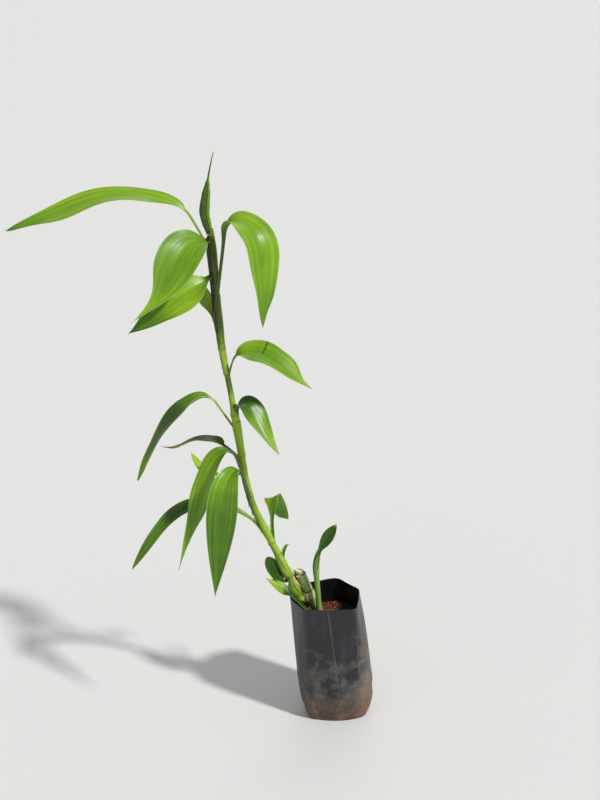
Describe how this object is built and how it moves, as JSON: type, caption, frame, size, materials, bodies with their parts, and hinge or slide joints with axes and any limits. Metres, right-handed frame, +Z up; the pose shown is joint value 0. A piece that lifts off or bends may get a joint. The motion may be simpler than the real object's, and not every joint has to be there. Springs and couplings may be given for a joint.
{
  "type": "potted lucky bamboo",
  "caption": "Tall leafy shoot with long drooping leaves, grown from a cut green cane in a soft black nursery bag of soil, with a young side shoot.",
  "frame": {"origin": "centre of the bag's flat underside, where it stands on the ground", "axes": "+Z up; +X to the right and -Y towards the viewer of the picture"},
  "size_m": [0.3601, 0.1409, 0.5997],
  "materials": {
    "bag_film": "satin black film",
    "soil": "rough",
    "cane": "waxy",
    "shoot": "waxy",
    "leaf": "glossy leaf"
  },
  "bodies": {
    "root": {"bag": "bag_film", "soil": "soil", "cane": "cane", "shoot": "shoot", "side_shoot": "shoot", "leaf_1_stalk": "leaf", "leaf_1_blade": "leaf", "leaf_2_spear": "leaf", "leaf_3_stalk": "leaf", "leaf_3_blade": "leaf", "leaf_4": "leaf", "leaf_5": "leaf", "leaf_6": "leaf", "leaf_7_stalk": "leaf", "leaf_7_blade": "leaf", "leaf_8_stalk": "leaf", "leaf_8_blade": "leaf", "leaf_9_stalk": "leaf", "leaf_9_blade": "leaf", "leaf_10": "leaf", "leaf_11": "leaf", "leaf_12_stalk": "leaf", "leaf_12_blade": "leaf", "leaf_13_stalk": "leaf", "leaf_13_blade": "leaf", "leaf_14_stalk": "leaf", "leaf_14_blade": "leaf", "leaf_15_stalk": "leaf", "leaf_15_blade": "leaf", "leaf_16_stalk": "leaf", "leaf_16_blade": "leaf", "leaf_17": "leaf", "leaf_18": "leaf", "leaf_19": "leaf"}
  },
  "joints": []
}
